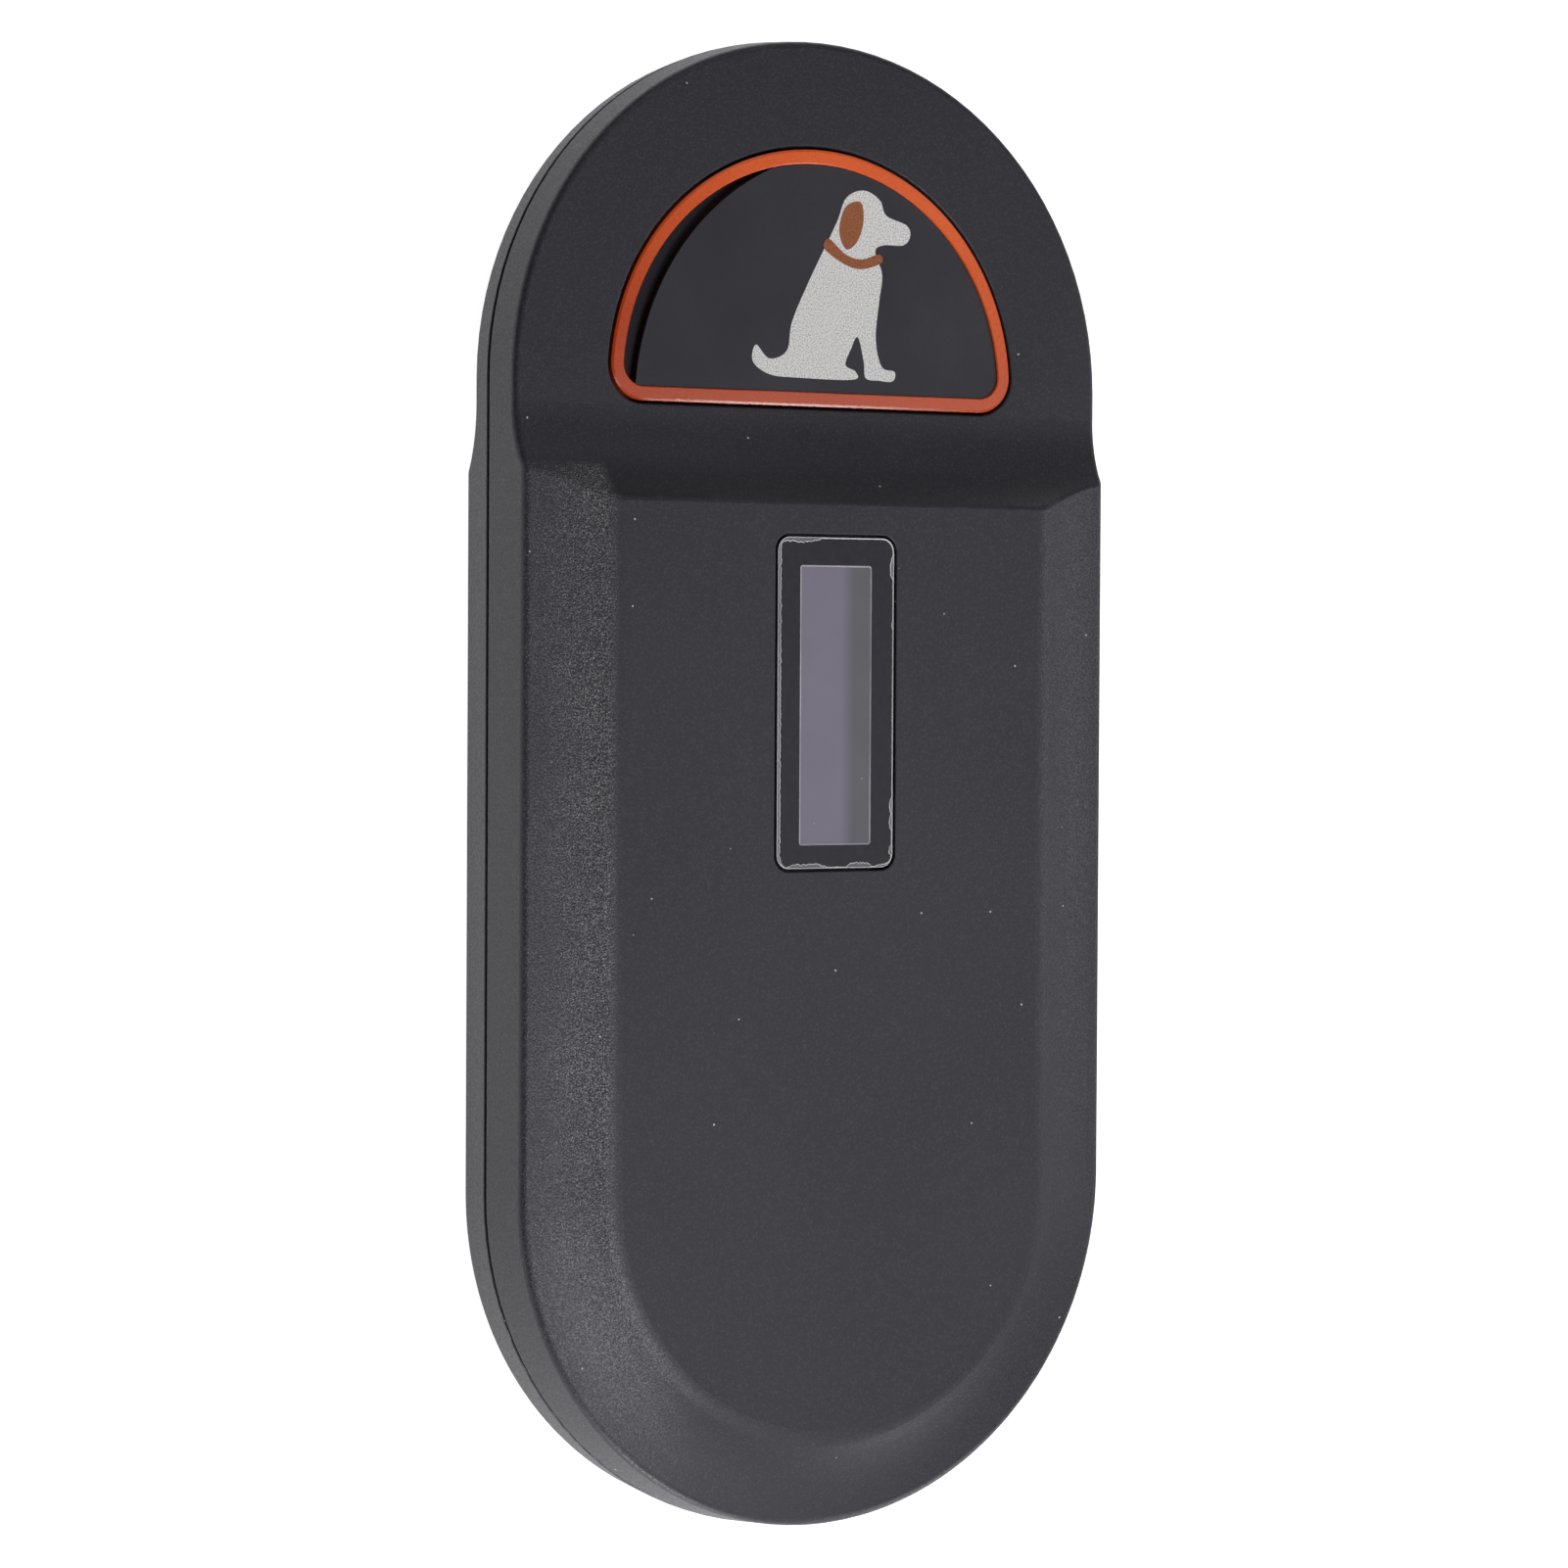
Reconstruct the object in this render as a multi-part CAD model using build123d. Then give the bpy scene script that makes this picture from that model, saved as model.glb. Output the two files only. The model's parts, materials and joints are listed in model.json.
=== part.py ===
from build123d import *
import os

# Microchip scanner, in millimetres. It lies on its back: +Z comes out of its front face, +Y runs
# towards its round reading head, and the origin is on the table, under the middle of the case.

# Case: a stadium outline, with a thin head at one end and a thicker grip at the other
END_Y = 35.27          # centres of the two round ends
SEAM_R = 30.5          # half width at the seam, where the shells meet
SEAM_Z = 5.5
SEAM_GAP = 0.3         # shadow line between the shells
FRONT_RIM = (11.2, 30.0)      # (height, half width) where the wall turns into the shoulder
SHOULDER = (11.75, 26.1)      # the shoulder is slightly hollow here
PLATEAU = (13.35, 22.1)       # raised flat of the grip
BACK_RIM = (0.9, 30.05)
BACK_PLATEAU = (0.0, 27.4)
HEAD_FRONT_Z = 9.55
HEAD_BACK_Z = 2.55
WAIST_Y = 33.0         # where the hollow waist curve leaves the flat of the head
WAIST_R = 10.6
WALL = 1.4
FAR = 90.0             # past the case on every side, for cutters

RIM_ROUND = 0.8
SHOULDER_ROUND = 20.0
PLATEAU_ROUND = 4.0
BACK_PLATEAU_ROUND = 3.0
WAIST_ROUND = 0.6
SEAM_ROUND = 0.15

LIP_INSET = 0.8        # tongue of the back shell, inside the front shell's edge
LIP_HEIGHT = 1.2
FIT = 0.05             # side gap of the tongue

# Screws that close the case, and the posts that they run in
CASE_SCREW_PLACES = [(-23.5, 17.0), (23.5, 17.0), (-23.0, -44.0), (23.0, -44.0)]
POST_R = 3.0
SCREW_R = 0.95
SCREW_HEAD_R = 1.9
SCREW_HEAD_Z = (0.5, 1.9)
SCREW_TIP_Z = 9.6
SCREW_SLOT = (2.3, 0.5, 0.8)        # length, width and depth of the cross slot
SMALL_SCREW_R = 0.75
SMALL_HEAD_R = 1.45
SMALL_HEAD_HEIGHT = 0.75
SMALL_SLOT = (1.8, 0.4, 0.4)
BOARD_POST_R = 2.0
SWITCH_POST_R = 1.9

# Scan button: a half-moon, concentric with the head
BUTTON_R = 20.7
BUTTON_BOTTOM_Y = 33.4
BUTTON_CORNER = 3.2
BUTTON_TOP_Z = 9.65
BUTTON_GAP = 0.26
BUTTON_HOLE_ROUND = 0.2
FRAME_WIDTH = 1.25
FRAME_OUTER_ROUND = 0.5
FRAME_INNER_ROUND = 0.15
FLANGE_WIDTH = 1.0
FLANGE_PLAY = 0.2
FLANGE_Z = (7.25, 8.05)
TRAY_Z = 8.45          # floor inside the frame
FILM_Z = (9.2, 9.45)   # the film lies on an island that stands on this floor
FILM_GAP = 0.05
FILM_CUT_R = 23.2      # a flatter arc cuts the film's left side
FILM_CUT_MIDDLE = (4.95, 32.9)
FENCE_Z = 7.0          # lower edge of the fence that guides the flange
FENCE_THICK = 0.7
BUTTON_TRAVEL = 0.4
FOOT_R = 2.0

# Click switch under the button, on its own board
SWITCH_Y = 44.5
SWITCH_BOARD = (22.0, 13.0, 0.8)
SWITCH_BOARD_Z = 4.45
SWITCH_SIZE = 6.2
SWITCH_HEIGHT = 1.1
PLUNGER_R = 1.65
PLUNGER_Z = (5.75, 6.95)
SWITCH_SCREW_X = 8.5

# Display: window in the plateau, panel below it
LENS_Y = 7.31
LENS = (12.1, 29.1)
LENS_CORNER = 1.25
LENS_Z = (12.4, 13.3)
GLUE_THICK = 0.1
POCKET_GAP = 0.2
LENS_ROUND = 0.12
WINDOW = (9.4, 26.4)
WINDOW_CORNER = 0.6
LEDGE_MARGIN = 1.7
LEDGE_CORNER = 2.0
LEDGE_Z = 11.5
PANEL_Y = 7.1
PANEL = (11.5, 30.0)
PANEL_Z = (9.65, 11.1)
PANEL_LOWER_THICK = 0.75
PANEL_STEP = 1.8       # how far the lower glass runs on past the upper one
GASKET = (11.3, 29.2)
HOLDER_Y = (-6.6, 22.4)
HOLDER_HALF_X = 6.3

# Main board
BOARD_Z = (2.87, 3.87)
BOARD_HALF_X = 19.5
BOARD_TOP_Y = 22.0
BOARD_END_R = 27.9
BOARD_SCREW_PLACES = [(-16.2, 17.5), (16.2, 17.5), (-15.5, -50.0), (15.5, -50.0)]

# Reading coil, round the inside of the head
COIL_R = (23.6, 26.7)
COIL_BOTTOM_Y = (29.0, 25.9)
COIL_CORNER = (3.4, 6.5)
COIL_Z = (4.55, 6.75)
FORMER_EDGE = 0.5
FORMER_WALL = 0.8

# Battery
BATTERY_X = 15.0
BATTERY_Y = (-49.0, -14.0)
BATTERY_Z = (6.75, 11.75)
LEAD_PLACES = {"battery_lead_red": 10.4, "battery_lead_black": 11.6}
LEAD_R = 0.4
PLUG_Y = (-11.0, -8.4)

# Charging socket in the bottom end
USB_SIZE = (8.94, 3.26)
USB_Y = (-65.2, -57.9)
USB_SKIN = 0.3
USB_GAP = 0.27
USB_CUT_DEPTH = 3.2
USB_TONGUE = (6.7, 0.7)


# ---- Shapes that several pieces share ----

def block(x, y, z):
    """A box from three (low, high) pairs."""
    size = [high - low for low, high in (x, y, z)]
    middle = [(low + high) / 2 for low, high in (x, y, z)]
    return Pos(*middle) * Box(*size)


def post(place, radius, z):
    """An upright cylinder over place, from z[0] to z[1]."""
    return Pos(place[0], place[1], (z[0] + z[1]) / 2) * Cylinder(radius, z[1] - z[0])


def prism(outline, z):
    """A flat outline, pulled up from z[0] to z[1]."""
    return extrude(Pos(0, 0, z[0]) * outline, z[1] - z[0])


def stadium(radius):
    """The case's outline, at the given half width."""
    return SlotCenterToCenter(2 * END_Y, 2 * radius, rotation=90)


def half_moon(radius, bottom_y, corner):
    """The button's outline: an arc about the head's centre, closed by a straight bottom."""
    disc = Pos(0, END_Y) * Circle(radius)
    half = Pos(0, bottom_y + FAR / 2) * Rectangle(FAR, FAR)
    moon = disc & half
    return fillet(moon.vertices(), corner)


def window(size, middle_y, corner):
    return Pos(0, middle_y) * RectangleRounded(size[0], size[1], corner)


def grown(size, margin):
    return (size[0] + 2 * margin, size[1] + 2 * margin)


def strip(points, middle_x, width, thick, bend):
    """A flat cable bent along points of (y, z), with round bends."""
    path = FilletPolyline(*[(middle_x, y, z) for y, z in points], radius=bend)
    start = Plane(origin=path @ 0, x_dir=(1, 0, 0), z_dir=path % 0)
    return sweep(start * Rectangle(width, thick), path)


def lead(points, middle_x, radius, bend):
    """A round wire along points of (y, z), with round bends."""
    path = FilletPolyline(*[(middle_x, y, z) for y, z in points], radius=bend)
    return sweep(Plane(origin=path @ 0, z_dir=path % 0) * Circle(radius), path)


# ---- Outer form of the case ----

def tower(*levels):
    """Stadium outlines at several (height, half width) levels, joined by straight slopes."""
    return loft([Pos(0, 0, z) * stadium(radius) for z, radius in levels], ruled=True)


def beyond_waist(face_z, radius, side):
    """All that lies outside the flat of the head and the hollow curve beside it.
    side is 1 for the front of the case and -1 for its back."""
    middle = (WAIST_Y, face_z + side * radius)
    curve = CenterArc(middle, radius, -90 * side, -75 * side)
    far_z = face_z + side * FAR
    rest = Polyline(curve @ 1, ((curve @ 1).X, far_z), (FAR, far_z), (FAR, face_z), curve @ 0)
    return extrude(Plane.YZ * make_face([curve, rest]), amount=FAR, both=True)


def edges_at(solid, z):
    return [edge for edge in solid.edges() if abs(edge.center().Z - z) < 0.01]


def outer_form(levels, rounds, face_z, side):
    """One half of the case, solid: wall, shoulder and plateau, cut down to a thin head.
    rounds holds the radius at each of the levels, from the rim to the plateau."""
    solid = tower((SEAM_Z, SEAM_R), *levels)
    for level, radius in reversed(list(zip(levels, rounds))):
        solid = fillet(edges_at(solid, level[0]), radius)
    solid -= beyond_waist(face_z, WAIST_R, side)

    # Every edge of the cut face, but not the seam and not the smooth line where it turns flat
    def is_outline(edge):
        place = edge.center()
        smooth_line = abs(place.Y - WAIST_Y) < 0.01 and abs(place.X) < 0.01
        past_face = side * (place.Z - face_z) > -0.05
        return place.Y > WAIST_Y - WAIST_R and past_face and not smooth_line

    return fillet(solid.edges().filter_by(is_outline), WAIST_ROUND)


def inner_form(rim, plateau, face_z, side, inset):
    """The same half, smaller by inset all round, with plain edges."""
    rim_level = (rim[0] - side * inset, rim[1] - inset)
    plateau_level = (plateau[0] - side * inset, plateau[1] - inset / 2)
    solid = tower((SEAM_Z, SEAM_R - inset), rim_level, plateau_level)
    return solid - beyond_waist(face_z - side * inset, WAIST_R + inset, side)


def front_inside(inset):
    return inner_form(FRONT_RIM, PLATEAU, HEAD_FRONT_Z, 1, inset)


def back_inside(inset):
    return inner_form(BACK_RIM, BACK_PLATEAU, HEAD_BACK_Z, -1, inset)


def seam_band(outer_inset, z):
    """A flat slab across the case, inset from the seam's outline."""
    return prism(stadium(SEAM_R - outer_inset), z)


def round_seam_edge(shell, z):
    """Round the outline of a half that is still solid, where it ends at the seam."""
    return fillet(edges_at(shell, z), SEAM_ROUND)


def usb_cutter():
    """The opening for the charging socket, from inside the end wall outwards."""
    mouth = Plane.XZ * SlotOverall(*grown(USB_SIZE, USB_GAP))
    return Pos(0, USB_Y[0] + USB_CUT_DEPTH, SEAM_Z) * extrude(mouth, FAR)


# ---- Shells ----

def front_shell():
    low_z = SEAM_Z + SEAM_GAP / 2
    levels = (FRONT_RIM, SHOULDER, PLATEAU)
    outside = outer_form(levels, (RIM_ROUND, SHOULDER_ROUND, PLATEAU_ROUND), HEAD_FRONT_Z, 1)
    shell = outside - block((-FAR, FAR), (-FAR, FAR), (0, low_z))
    shell = round_seam_edge(shell, low_z)
    shell -= front_inside(WALL)
    shell -= seam_band(LIP_INSET - FIT, (0, SEAM_Z + LIP_HEIGHT + 0.1))

    # Posts for the case screws, the ledge under the lens and the fence round the button
    posts = [post(place, POST_R, (SEAM_Z, PLATEAU[0])) for place in CASE_SCREW_PLACES]
    ledge = prism(window(grown(LENS, LEDGE_MARGIN), LENS_Y, LEDGE_CORNER), (LEDGE_Z, PLATEAU[0]))
    room = FLANGE_WIDTH + FLANGE_PLAY
    fence_outline = button_outline(room + FENCE_THICK) - button_outline(room)
    fence = prism(fence_outline, (FENCE_Z, HEAD_FRONT_Z))
    shell += front_inside(WALL / 2) & (Part() + posts + [ledge, fence])

    # Openings: button, lens pocket, display window, screw holes, charging socket
    shell -= prism(button_outline(BUTTON_GAP), (HEAD_FRONT_Z - WALL - FIT, FAR))
    pocket = window(grown(LENS, POCKET_GAP), LENS_Y, LENS_CORNER + POCKET_GAP)
    shell -= prism(pocket, (LENS_Z[0] - GLUE_THICK, FAR))
    shell -= prism(window(WINDOW, LENS_Y, WINDOW_CORNER), (0, FAR))
    for place in CASE_SCREW_PLACES:
        shell -= post(place, SCREW_R + FIT, (0, SCREW_TIP_Z + 0.5))
    shell -= usb_cutter()
    return soften_openings(shell)


def soften_openings(shell):
    """Round the upper edges of the button opening and of the lens pocket."""
    def is_button_edge(edge):
        place = edge.center()
        from_centre = (place - Vector(0, END_Y, place.Z)).length
        return abs(place.Z - HEAD_FRONT_Z) < 0.01 and from_centre < BUTTON_R + 1

    def is_pocket_edge(edge):
        place = edge.center()
        half_length = LENS[1] / 2 + 1
        return (abs(place.Z - PLATEAU[0]) < 0.01 and abs(place.X) < LENS[0]
                and abs(place.Y - LENS_Y) < half_length)

    shell = fillet(shell.edges().filter_by(is_button_edge), BUTTON_HOLE_ROUND)
    return fillet(shell.edges().filter_by(is_pocket_edge), LENS_ROUND)


def back_shell():
    top_z = SEAM_Z - SEAM_GAP / 2
    outside = outer_form((BACK_RIM, BACK_PLATEAU), (RIM_ROUND, BACK_PLATEAU_ROUND), HEAD_BACK_Z, -1)
    shell = outside - block((-FAR, FAR), (-FAR, FAR), (top_z, FAR))
    shell = round_seam_edge(shell, top_z)
    tongue = (SEAM_Z - 1.0, SEAM_Z + LIP_HEIGHT)
    shell += seam_band(LIP_INSET, tongue)
    shell -= back_inside(WALL)
    shell -= seam_band(WALL, (SEAM_Z, FAR))

    # Posts for the case screws, and stand-offs for the two boards
    posts = [post(place, POST_R, (0, SEAM_Z)) for place in CASE_SCREW_PLACES]
    board_posts = [post(place, BOARD_POST_R, (0, BOARD_Z[0])) for place in BOARD_SCREW_PLACES]
    switch_posts = [post(place, SWITCH_POST_R, (0, SWITCH_BOARD_Z)) for place in switch_screw_places()]
    shell += back_inside(WALL / 2) & (Part() + posts + board_posts + switch_posts)

    for place in CASE_SCREW_PLACES:
        shell -= post(place, SCREW_R + 0.2, (0, FAR))
        shell -= post(place, SCREW_HEAD_R + 0.25, (-1, SCREW_HEAD_Z[1]))
    for place in BOARD_SCREW_PLACES:
        shell -= post(place, SMALL_SCREW_R + FIT, (0.8, BOARD_Z[1]))
    for place in switch_screw_places():
        shell -= post(place, SMALL_SCREW_R + FIT, (HEAD_BACK_Z + 0.55, SWITCH_BOARD_Z + 1))
    return shell - usb_cutter()


def case_screws():
    """Four pan-head screws, put in from the back."""
    screws = []
    for place in CASE_SCREW_PLACES:
        head = post(place, SCREW_HEAD_R, SCREW_HEAD_Z)
        head = fillet(head.edges().group_by(Axis.Z)[0], 0.5)
        screw = head + post(place, SCREW_R, (SCREW_HEAD_Z[1], SCREW_TIP_Z))
        screws.append(screw - cross_slot(place, SCREW_HEAD_Z[0], SCREW_SLOT))
    return Compound(children=screws)


def cross_slot(place, low_z, size):
    """A cross, from low_z up. size is its length, width and depth."""
    length, width, depth = size
    arm = Pos(place[0], place[1], low_z + depth / 2) * Box(length, width, depth)
    return arm + Pos(place[0], place[1], low_z + depth / 2) * Box(width, length, depth)


def small_screws(places, board_top, tip_z):
    """Screws that hold a board down, put in from its top."""
    screws = []
    for place in places:
        head_top = board_top + SMALL_HEAD_HEIGHT
        head = post(place, SMALL_HEAD_R, (board_top, head_top))
        screw = head + post(place, SMALL_SCREW_R, (tip_z, board_top))
        screws.append(screw - cross_slot(place, head_top - SMALL_SLOT[2], SMALL_SLOT))
    return Compound(children=screws)


# ---- Button ----

def button_outline(margin):
    """The outer edge of the button, moved outwards by margin."""
    return half_moon(BUTTON_R + margin, BUTTON_BOTTOM_Y - margin, BUTTON_CORNER + margin)


def button_frame():
    frame = prism(button_outline(0) - button_outline(-FRAME_WIDTH), (FLANGE_Z[1], BUTTON_TOP_Z))
    top = frame.faces().sort_by(Axis.Z)[-1]
    frame = fillet(top.outer_wire().edges(), FRAME_OUTER_ROUND)
    top = frame.faces().sort_by(Axis.Z)[-1]
    return fillet(top.inner_wires()[0].edges(), FRAME_INNER_ROUND)


def film_outline():
    """Most of the inside of the frame: on the left, a strip of the tray stays open."""
    return button_outline(-FRAME_WIDTH - FILM_GAP) & Pos(*FILM_CUT_MIDDLE) * Circle(FILM_CUT_R)


def button_plate():
    """The button's carrier: a flange that stays behind the case, a tray with an island for the
    film, and a foot over the switch."""
    flange = prism(button_outline(FLANGE_WIDTH), FLANGE_Z)
    tray = prism(button_outline(-FRAME_WIDTH), (FLANGE_Z[1], TRAY_Z))
    island = prism(film_outline(), (TRAY_Z, FILM_Z[0]))
    foot = post((0, SWITCH_Y), FOOT_R, (PLUNGER_Z[1] + FIT, FLANGE_Z[0]))
    return flange + tray + island + foot


def button_label():
    return prism(film_outline(), FILM_Z)


def switch_screw_places():
    return [(-SWITCH_SCREW_X, SWITCH_Y), (SWITCH_SCREW_X, SWITCH_Y)]


def switch_board_top():
    return SWITCH_BOARD_Z + SWITCH_BOARD[2]


def switch_board():
    outline = Pos(0, SWITCH_Y) * RectangleRounded(SWITCH_BOARD[0], SWITCH_BOARD[1], 1.5)
    board = prism(outline, (SWITCH_BOARD_Z, switch_board_top()))
    for place in switch_screw_places():
        board -= post(place, SMALL_SCREW_R + 0.15, (0, FAR))
    return board


def switch_base():
    z = (switch_board_top(), switch_board_top() + SWITCH_HEIGHT)
    body = prism(Pos(0, SWITCH_Y) * RectangleRounded(SWITCH_SIZE, SWITCH_SIZE, 0.6), z)
    return body - post((0, SWITCH_Y), PLUNGER_R + 0.07, (PLUNGER_Z[0] - BUTTON_TRAVEL - 0.05, FAR))


def switch_plunger():
    plunger = post((0, SWITCH_Y), PLUNGER_R, PLUNGER_Z)
    return fillet(plunger.edges().group_by(Axis.Z)[-1], 0.15)


def switch_cable():
    """Flat cable from the switch board, over the coil, down to the main board."""
    thick = 0.25
    on_switch_board = switch_board_top() + thick / 2
    on_main_board = BOARD_Z[1] + thick / 2
    over_coil = COIL_Z[1] + 0.35
    route = [(41.5, on_switch_board), (31.6, on_switch_board), (30.4, over_coil),
             (24.4, over_coil), (24.4, on_main_board), (20.5, on_main_board)]
    return strip(route, middle_x=-8.5, width=3.0, thick=thick, bend=0.45)


# ---- Display ----

def display_lens():
    lens = prism(window(LENS, LENS_Y, LENS_CORNER), LENS_Z)
    return fillet(lens.edges().group_by(Axis.Z)[-1], LENS_ROUND)


def lens_adhesive():
    outside = window(grown(LENS, -0.1), LENS_Y, LENS_CORNER - 0.1)
    inside = window(grown(WINDOW, 0.1), LENS_Y, 0.7)
    return prism(outside - inside, (LENS_Z[0] - GLUE_THICK, LENS_Z[0]))


def display_gasket():
    outside = window(GASKET, PANEL_Y, 0.3)
    inside = window((WINDOW[0] - 0.4, WINDOW[1]), PANEL_Y, 0.5)
    return prism(outside - inside, (PANEL_Z[1], LEDGE_Z))


def oled_panel():
    """Two glass layers: the lower one runs on past the upper one, to carry the flat cable."""
    half_x = PANEL[0] / 2
    y = (PANEL_Y - PANEL[1] / 2, PANEL_Y + PANEL[1] / 2)
    middle_z = PANEL_Z[0] + PANEL_LOWER_THICK
    lower = block((-half_x, half_x), y, (PANEL_Z[0], middle_z))
    return lower + block((-half_x, half_x), (y[0] + PANEL_STEP, y[1]), (middle_z, PANEL_Z[1]))


def oled_holder():
    """A tray, open below, that stands on the main board and carries the panel."""
    skin = 1.2
    x = (-HOLDER_HALF_X, HOLDER_HALF_X)
    tray = block(x, HOLDER_Y, (BOARD_Z[1], PANEL_Z[0]))
    hollow_x = (x[0] + skin, x[1] - skin)
    hollow_y = (HOLDER_Y[0] + skin, HOLDER_Y[1] - skin)
    return tray - block(hollow_x, hollow_y, (BOARD_Z[1] - 1, PANEL_Z[0] - skin))


def oled_flex():
    thick = 0.2
    under_panel = PANEL_Z[0] - thick / 2
    at_socket = BOARD_Z[1] + 0.8
    route = [(HOLDER_Y[0] - 0.1, under_panel), (-9.2, under_panel), (-9.2, at_socket), (-11.4, at_socket)]
    return strip(route, middle_x=0, width=9.0, thick=thick, bend=0.8)


def flex_socket():
    return on_board(0, -12.9, 11.0, 3.0, 1.4)


# ---- Main board ----

def main_board():
    y_low = -END_Y - BOARD_END_R - 1
    outline = Rectangle(2 * BOARD_HALF_X, BOARD_TOP_Y - y_low)
    outline = Pos(0, (BOARD_TOP_Y + y_low) / 2) * outline & stadium(BOARD_END_R)
    board = prism(outline, BOARD_Z)
    for place in BOARD_SCREW_PLACES:
        board -= post(place, SMALL_SCREW_R + 0.15, (0, FAR))
    return board


def on_board(x, y, width, length, height):
    """A box-shaped component, standing on the main board."""
    z = (BOARD_Z[1], BOARD_Z[1] + height)
    return block((x - width / 2, x + width / 2), (y - length / 2, y + length / 2), z)


def buzzer():
    body = on_board(-13.0, 4.0, 8.4, 8.4, 2.4)
    body = fillet(body.edges().filter_by(Axis.Z), 0.8)
    top = BOARD_Z[1] + 2.4
    return body - post((-13.0, 4.0), 1.0, (top - 0.6, top))


def capacitors():
    """A row of four beside each of the two large chips."""
    return Compound(children=[on_board(side * 18.2, 12.0 - 3.0 * step, 0.8, 1.6, 0.8)
                              for side in (-1, 1) for step in range(4)])


def resistors():
    """A row of five near the charging socket."""
    return Compound(children=[on_board(-8.0 + 4.0 * step, -52.5, 1.6, 0.8, 0.5) for step in range(5)])


# ---- Reading coil ----

def coil_outline(index, margin):
    """The coil's inner (0) or outer (1) edge, moved outwards by margin."""
    return half_moon(COIL_R[index] + margin, COIL_BOTTOM_Y[index] - margin, COIL_CORNER[index] + margin)


def antenna_coil():
    winding = prism(coil_outline(1, 0) - coil_outline(0, 0), COIL_Z)
    return fillet(winding.faces().sort_by(Axis.Z)[-1].outer_wire().edges(), 0.4)


def coil_former():
    """A flange under the winding and a wall inside it."""
    floor_z = HEAD_BACK_Z + WALL
    inside = coil_outline(0, -FORMER_WALL)
    flange = prism(coil_outline(1, FORMER_EDGE) - inside, (floor_z, COIL_Z[0]))
    return flange + prism(coil_outline(0, 0) - inside, (floor_z, COIL_Z[1] + 0.05))


def coil_leads():
    radius = 0.25
    on_main_board = BOARD_Z[1] + radius
    route = [(COIL_BOTTOM_Y[1], 5.6), (24.0, 5.6), (24.0, on_main_board), (21.0, on_main_board)]
    return Compound(children=[lead(route, x, radius, 0.5) for x in (9.0, 11.0)])


# ---- Battery ----

def battery_cell():
    cell = block((-BATTERY_X, BATTERY_X), BATTERY_Y, BATTERY_Z)
    return fillet(cell.edges().filter_by(Axis.Y), 1.8)


def battery_tape():
    half_x = BATTERY_X - 2.5
    return block((-half_x, half_x), (BATTERY_Y[0] + 3, BATTERY_Y[1] - 3), (BATTERY_Z[1], PLATEAU[0] - WALL))


def battery_lead(x):
    high_z = 9.2
    low_z = BOARD_Z[1] + 1.33
    bend_y = BATTERY_Y[1] + 1.5
    return lead([(BATTERY_Y[1], high_z), (bend_y, high_z), (bend_y, low_z), (PLUG_Y[0], low_z)], x, LEAD_R, 0.6)


def battery_plug():
    return block((9.2, 12.8), PLUG_Y, (BOARD_Z[1] + 0.13, BOARD_Z[1] + 2.53))


def battery_socket():
    return on_board(11.0, PLUG_Y[1] + 2.0, 4.8, 4.0, 2.8)


# ---- Charging socket ----

def usb_slot(size, y):
    """A flat-sided round-ended bar along Y, at the seam's height."""
    return Pos(0, y[1], SEAM_Z) * extrude(Plane.XZ * SlotOverall(*size), y[1] - y[0])


def usb_shell():
    inside = grown(USB_SIZE, -USB_SKIN)
    return usb_slot(USB_SIZE, USB_Y) - usb_slot(inside, (USB_Y[0] - 1, USB_Y[1] - 1.0))


def usb_tongue():
    width, thick = USB_TONGUE
    z = (SEAM_Z - thick / 2, SEAM_Z + thick / 2)
    tongue = block((-width / 2, width / 2), (USB_Y[0] + 0.8, USB_Y[1] - 1.0), z)
    return fillet(tongue.edges().filter_by(Axis.Z).group_by(Axis.Y)[0], 0.6)


NODES = {
    "front_shell": front_shell,
    "back_shell": back_shell,
    "case_screws": case_screws,
    "button_frame": button_frame,
    "button_plate": button_plate,
    "button_label": button_label,
    "switch_board": switch_board,
    "switch_base": switch_base,
    "switch_plunger": switch_plunger,
    "switch_cable": switch_cable,
    "switch_screws": lambda: small_screws(switch_screw_places(), switch_board_top(), HEAD_BACK_Z + 0.65),
    "display_lens": display_lens,
    "lens_adhesive": lens_adhesive,
    "display_gasket": display_gasket,
    "oled_panel": oled_panel,
    "oled_holder": oled_holder,
    "oled_flex": oled_flex,
    "flex_socket": flex_socket,
    "main_board": main_board,
    "board_screws": lambda: small_screws(BOARD_SCREW_PLACES, BOARD_Z[1], 0.95),
    "main_chip": lambda: on_board(12.5, 9.0, 7.0, 7.0, 0.9),
    "radio_chip": lambda: on_board(-12.5, 13.0, 8.7, 4.0, 1.5),
    "charger_chip": lambda: on_board(-10.0, -55.0, 3.0, 1.7, 1.1),
    "crystal": lambda: on_board(12.5, 2.6, 3.2, 2.5, 0.8),
    "inductor": lambda: on_board(-12.5, -6.0, 5.0, 5.0, 2.2),
    "capacitors": capacitors,
    "resistors": resistors,
    "buzzer": buzzer,
    "antenna_coil": antenna_coil,
    "coil_former": coil_former,
    "coil_leads": coil_leads,
    "battery_cell": battery_cell,
    "battery_tape": battery_tape,
    "battery_lead_red": lambda: battery_lead(LEAD_PLACES["battery_lead_red"]),
    "battery_lead_black": lambda: battery_lead(LEAD_PLACES["battery_lead_black"]),
    "battery_plug": battery_plug,
    "battery_socket": battery_socket,
    "usb_shell": usb_shell,
    "usb_tongue": usb_tongue,
}

os.makedirs("parts", exist_ok=True)
for name, make in NODES.items():
    export_step(make(), f"parts/{name}.step")
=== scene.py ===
"""The looks of the microchip scanner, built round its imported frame. Lengths are in metres."""

import json
import math

import bmesh
import bpy
from mathutils import Matrix, Vector, noise


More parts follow.
